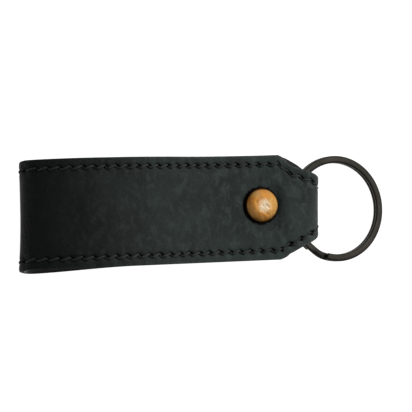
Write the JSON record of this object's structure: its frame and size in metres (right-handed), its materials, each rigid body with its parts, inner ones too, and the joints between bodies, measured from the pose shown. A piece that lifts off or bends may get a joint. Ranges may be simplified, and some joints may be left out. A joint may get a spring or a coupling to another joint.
{
  "type": "wristlet keychain",
  "caption": "Stitched two-ply leather strap bent into a hand loop, riveted where its narrowed neck folds round a flat-wire split ring for keys.",
  "frame": {"origin": "middle of the flat on the rivet's back cap, in the plane that the keychain rests on", "axes": "+X from the hand loop to the split ring, +Z from the back cap through the rivet to the front cap, +Y across the strap"},
  "size_m": [0.1272, 0.0365, 0.0164],
  "materials": {
    "grain_leather": "black, fine pebble grain, satin",
    "lining_leather": "black, smooth, matte",
    "thread": "black waxed polyester",
    "copper": "copper plated, softly hammered, satin",
    "rivet_steel": "plain",
    "gunmetal": "dark gunmetal plating, satin"
  },
  "bodies": {
    "strap": {"outer_strap": "grain_leather", "lining_strap": "lining_leather", "needle_thread_showing_edge": "thread", "bobbin_thread_showing_edge": "thread", "needle_thread_far_edge": "thread", "bobbin_thread_far_edge": "thread", "rivet_front_cap": "copper", "rivet_back_cap": "copper", "rivet_socket": "rivet_steel", "rivet_post": "rivet_steel"},
    "ring": {"split_ring": "gunmetal"}
  },
  "joints": [
    {"name": "ring_swing", "type": "hinge", "parent": "strap", "child": "ring", "pos_m": [0.01434, -0.00165, 0.0061], "axis": [0, -1, 0], "range_deg": [-3, 24]}
  ]
}
